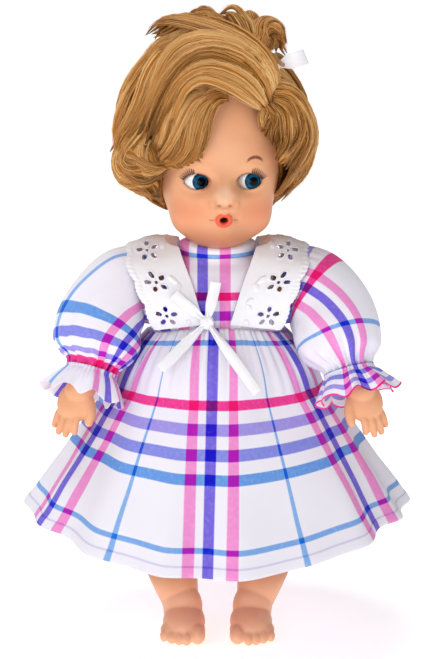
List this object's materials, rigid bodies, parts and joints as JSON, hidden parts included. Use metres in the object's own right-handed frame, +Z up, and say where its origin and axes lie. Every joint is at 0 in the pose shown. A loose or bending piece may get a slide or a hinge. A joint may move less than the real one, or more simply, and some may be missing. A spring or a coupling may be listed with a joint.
{
  "type": "baby doll",
  "caption": "Standing vinyl baby doll with rooted blond hair, sleep eyes and turning head, arms and legs, in a gathered plaid dress with eyelet collar and ribbon.",
  "frame": {"origin": "on the floor under the middle of the doll's bounding box, between the feet", "axes": "+Z up; the doll's body faces -Y; its own left is +X"},
  "size_m": [0.2162, 0.1962, 0.3494],
  "materials": {
    "vinyl_skin": "soft satin vinyl with painted lips, brows and cheeks",
    "hair_fibre": "glossy rooted synthetic hair, honey blond",
    "plaid_cotton": "thin white cotton woven with pink, violet and blue plaid",
    "eyelet_cotton": "white embroidered eyelet cotton",
    "satin_ribbon": "white satin ribbon",
    "eye_white": "glossy, lid half in skin colour",
    "eye_iris": "glossy printed blue",
    "lash_fibre": "black bristle",
    "steel_wire": "drawn wire",
    "lead_weight": "cast slug",
    "rubber_elastic": "matte elastic",
    "clear_vinyl": "milky moulded plastic"
  },
  "bodies": {
    "torso": {"torso": "vinyl_skin", "bodice": "plaid_cotton", "neckband": "plaid_cotton", "skirt": "plaid_cotton", "collar_left": "eyelet_cotton", "collar_right": "eyelet_cotton", "ribbon_knot": "satin_ribbon", "ribbon_end_upper_left": "satin_ribbon", "ribbon_end_upper_right": "satin_ribbon", "ribbon_end_lower_left": "satin_ribbon", "ribbon_end_lower_right": "satin_ribbon"},
    "head": {"head_shell": "vinyl_skin", "hair_cap": "hair_fibre", "hair_topknot": "hair_fibre", "hair_band": "rubber_elastic", "hair_bow_knot": "satin_ribbon", "hair_bow_loop": "satin_ribbon", "eye_bracket": "clear_vinyl", "drink_tube": "clear_vinyl"},
    "eyes": {"eyeball_left": "eye_white", "eyeball_right": "eye_white", "iris_left": "eye_iris", "iris_right": "eye_iris", "lashes_left": "lash_fibre", "lashes_right": "lash_fibre", "eye_axle": "steel_wire", "eye_yoke": "steel_wire", "eye_weight": "lead_weight"},
    "left_arm": {"arm_left": "vinyl_skin", "sleeve_left": "plaid_cotton", "sleeve_elastic_left": "rubber_elastic", "sleeve_ruffle_left": "plaid_cotton"},
    "right_arm": {"arm_right": "vinyl_skin", "sleeve_right": "plaid_cotton", "sleeve_elastic_right": "rubber_elastic", "sleeve_ruffle_right": "plaid_cotton"},
    "hips": {"hip_link": "rubber_elastic"},
    "left_leg": {"leg_left": "vinyl_skin"},
    "right_leg": {"leg_right": "vinyl_skin"}
  },
  "joints": [
    {"name": "head_turn", "type": "hinge", "parent": "torso", "child": "head", "pos_m": [0, 0, 0.2235], "axis": [0, 0, 1], "range_deg": [-65, 55]},
    {"name": "eye_rock", "type": "hinge", "parent": "head", "child": "eyes", "pos_m": [0.00228, -0.0261, 0.2583], "axis": [0.9962, 0.0872, 0], "range_deg": [0, 40]},
    {"name": "left_arm_swing", "type": "hinge", "parent": "torso", "child": "left_arm", "pos_m": [0.0345, 0, 0.1945], "axis": [-1, 0, 0], "range_deg": [-10, 110], "deforming": ["sleeve_left", "collar_left"]},
    {"name": "right_arm_swing", "type": "hinge", "parent": "torso", "child": "right_arm", "pos_m": [-0.0345, 0, 0.1945], "axis": [-1, 0, 0], "range_deg": [-10, 110], "deforming": ["sleeve_right", "collar_right"]},
    {"name": "legs_sit", "type": "hinge", "parent": "torso", "child": "hips", "pos_m": [0, 0, 0.11], "axis": [-1, 0, 0], "range_deg": [0, 72], "deforming": ["skirt", "ribbon_end_lower_left", "ribbon_end_lower_right"]},
    {"name": "left_leg_step", "type": "hinge", "parent": "hips", "child": "left_leg", "pos_m": [0.031, 0, 0.11], "axis": [-1, 0, 0], "range_deg": [-18, 16]},
    {"name": "right_leg_step", "type": "hinge", "parent": "hips", "child": "right_leg", "pos_m": [-0.031, 0, 0.11], "axis": [-1, 0, 0], "range_deg": [-18, 16]}
  ]
}
